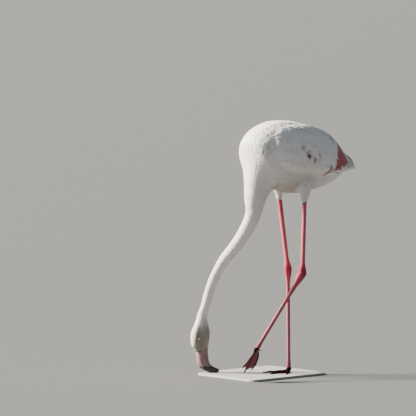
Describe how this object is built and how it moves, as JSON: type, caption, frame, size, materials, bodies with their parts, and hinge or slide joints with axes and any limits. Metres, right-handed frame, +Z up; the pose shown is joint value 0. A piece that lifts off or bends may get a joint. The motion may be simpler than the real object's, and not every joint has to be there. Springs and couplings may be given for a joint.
{
  "type": "greater flamingo",
  "caption": "life-size greater flamingo, a still model feeding head-down on one straight leg with the other swung forward, on a plain flat base",
  "frame": {"origin": "on the floor under the stand, below the toe joint of the right foot, which carries the bird", "axes": "+Z up; the bird's trunk faces -Y, so its left side is +X"},
  "size_m": [0.3458, 0.5865, 0.8854],
  "materials": {
    "plumage": "soft white contour feathers with a faint pink flush",
    "wing_plumage": "white wing feathers with crimson-pink coverts showing at the rear",
    "tail_plumage": "greyish white tail feathers, pinkish beneath",
    "eye": "wet and glossy, pale yellow iris with a black pupil",
    "bill_horn": "smooth pink horn with a black tip",
    "leg_skin": "finely scaled deep pink skin",
    "foot_skin": "dark crimson scaled skin and webs",
    "claw_horn": "dark horn",
    "stand_paint": "plain board painted matt pale grey"
  },
  "bodies": {
    "root": {"trunk": "plumage", "neck_lower": "plumage", "neck_middle": "plumage", "neck_upper": "plumage", "head": "plumage", "wing_left": "wing_plumage", "wing_right": "wing_plumage", "tail": "tail_plumage", "thigh_left": "plumage", "thigh_right": "plumage", "eye_left": "eye", "eye_right": "eye", "bill_upper": "bill_horn", "bill_lower": "bill_horn", "shank_left": "leg_skin", "shank_right": "leg_skin", "tarsus_left": "leg_skin", "tarsus_right": "leg_skin", "foot_left": "foot_skin", "foot_right": "foot_skin", "claw_left_inner": "claw_horn", "claw_left_middle": "claw_horn", "claw_left_outer": "claw_horn", "claw_left_hind": "claw_horn", "claw_right_inner": "claw_horn", "claw_right_middle": "claw_horn", "claw_right_outer": "claw_horn", "claw_right_hind": "claw_horn", "stand_base": "stand_paint"}
  },
  "joints": []
}
